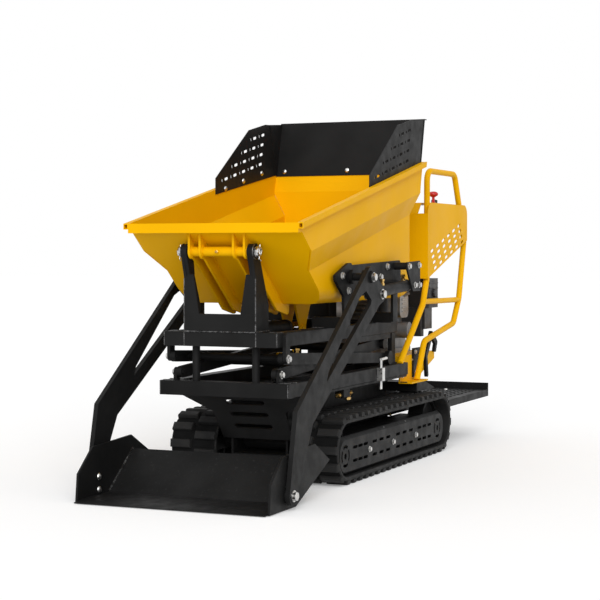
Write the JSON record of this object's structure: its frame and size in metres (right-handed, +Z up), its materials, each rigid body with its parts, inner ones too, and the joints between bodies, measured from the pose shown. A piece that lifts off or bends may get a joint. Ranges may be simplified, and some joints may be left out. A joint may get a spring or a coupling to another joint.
{
  "type": "site dumper",
  "caption": "Tracked site dumper with a forward-tipping hopper on a scissor lift, a self-loading front shovel on two arms, a guarded engine and a rear operator step.",
  "frame": {"origin": "on the ground under the centre of the bounding box, on the machine's centre plane", "axes": "+X to the machine's left, -Y to its front, +Z up"},
  "size_m": [0.776, 2.56, 1.362],
  "materials": {
    "yellow_paint": "gloss",
    "black_paint": "satin",
    "track_rubber": "matte",
    "rubber": "matte",
    "chrome_rod": "polished",
    "zinc": "zinc plated",
    "bare_steel": "satin",
    "engine_metal": "cast",
    "black_plastic": "matte",
    "red_plastic": "gloss"
  },
  "bodies": {
    "chassis": {"lower_side_beams": "black_paint", "lower_crossbeams": "black_paint", "rest_posts": "black_paint", "lift_pivots": "black_paint", "chassis_tub": "black_paint", "axle_tubes": "black_paint", "nose_guard": "black_paint", "track_left": "track_rubber", "track_right": "track_rubber", "track_frames": "black_paint", "track_wheels": "black_paint", "road_rollers": "black_paint", "track_covers": "black_paint", "engine_deck": "yellow_paint", "rear_box": "black_paint", "engine": "engine_metal", "fuel_tank": "black_plastic", "air_cleaner": "black_plastic", "muffler": "bare_steel", "hydraulic_tank": "black_paint", "hood": "yellow_paint", "guard_left": "yellow_paint", "guard_right": "yellow_paint", "controls": "black_plastic", "stop_knob": "red_plastic", "platform": "black_paint", "platform_arms": "black_paint", "rear_hook": "black_paint", "lock_pins": "zinc"},
    "scissor_a": {"scissor_inner": "black_paint"},
    "scissor_b": {"scissor_outer": "black_paint"},
    "upper_frame": {"upper_side_beams": "black_paint", "upper_crossbeams": "black_paint", "lift_rails": "black_paint", "upper_pivots": "black_paint", "tip_posts": "black_paint", "tip_pin": "zinc", "outriggers": "black_paint", "hopper_rests": "rubber", "loader_mounts": "black_paint"},
    "hopper": {"hopper_pan": "yellow_paint", "hopper_side_left": "yellow_paint", "hopper_side_right": "yellow_paint", "pivot_tube": "yellow_paint", "hopper_ribs": "yellow_paint", "spill_guard": "black_paint"},
    "loader": {"loader_arms": "black_paint", "shovel_pan": "black_paint", "shovel_sides": "black_paint"},
    "lift_barrel": {"lift_barrel": "black_paint"},
    "lift_rod": {"lift_rod": "chrome_rod"},
    "tip_barrel": {"tip_barrel": "black_paint"},
    "tip_rod": {"tip_rod": "chrome_rod"},
    "loader_barrel": {"loader_barrels": "black_paint"},
    "loader_rod": {"loader_rods": "chrome_rod"}
  },
  "joints": [
    {"name": "lift", "type": "hinge", "parent": "chassis", "child": "scissor_a", "pos_m": [0, -0.83, 0.41], "axis": [1, 0, 0], "range_deg": [0, 38.85]},
    {"name": "scissor_cross", "type": "hinge", "parent": "scissor_a", "child": "scissor_b", "pos_m": [0, -0.331, 0.4375], "axis": [1, 0, 0], "range_deg": [-78, 0]},
    {"name": "upper_level", "type": "hinge", "parent": "scissor_b", "child": "upper_frame", "pos_m": [0, -0.83, 0.465], "axis": [1, 0, 0], "range_deg": [0, 39]},
    {"name": "tip", "type": "hinge", "parent": "upper_frame", "child": "hopper", "pos_m": [0, -0.895, 0.83], "axis": [1, 0, 0], "range_deg": [0, 80]},
    {"name": "loader_swing", "type": "hinge", "parent": "upper_frame", "child": "loader", "pos_m": [0, -0.427, 0.739], "axis": [1, 0, 0], "range_deg": [-145, 0]},
    {"name": "lift_barrel_turn", "type": "hinge", "parent": "chassis", "child": "lift_barrel", "pos_m": [0, 0.13, 0.345], "axis": [1, 0, 0], "range_deg": [-21.58, 0]},
    {"name": "lift_rod_slide", "type": "slide", "parent": "lift_barrel", "child": "lift_rod", "axis": [0, -0.9833, 0.1821], "range_m": [0, 0.2211]},
    {"name": "tip_barrel_turn", "type": "hinge", "parent": "upper_frame", "child": "tip_barrel", "pos_m": [0, -0.8, 0.56], "axis": [1, 0, 0], "range_deg": [0, 73.1]},
    {"name": "tip_rod_slide", "type": "slide", "parent": "tip_barrel", "child": "tip_rod", "axis": [0, 0.9996, -0.0273], "range_m": [0, 0.35758]},
    {"name": "loader_barrel_turn", "type": "hinge", "parent": "upper_frame", "child": "loader_barrel", "pos_m": [0, 0.097, 0.7], "axis": [1, 0, 0], "range_deg": [-4.68, 0]},
    {"name": "loader_rod_slide", "type": "slide", "parent": "loader_barrel", "child": "loader_rod", "axis": [0, -0.9982, -0.0607], "range_m": [0, 0.24327]}
  ],
  "couplings": [
    {"joint": "scissor_cross", "follows": "lift", "ratio": -2},
    {"joint": "upper_level", "follows": "lift", "ratio": 1},
    {"joint": "lift_barrel_turn", "follows": "lift", "ratio": -0.54997},
    {"joint": "lift_rod_slide", "follows": "lift", "m_per_rad": 0.32446},
    {"joint": "tip_barrel_turn", "follows": "tip", "ratio": 0.90476},
    {"joint": "tip_rod_slide", "follows": "tip", "m_per_rad": 0.25483},
    {"joint": "loader_barrel_turn", "follows": "loader_swing", "ratio": 0.031923},
    {"joint": "loader_rod_slide", "follows": "loader_swing", "m_per_rad": -0.095647}
  ]
}
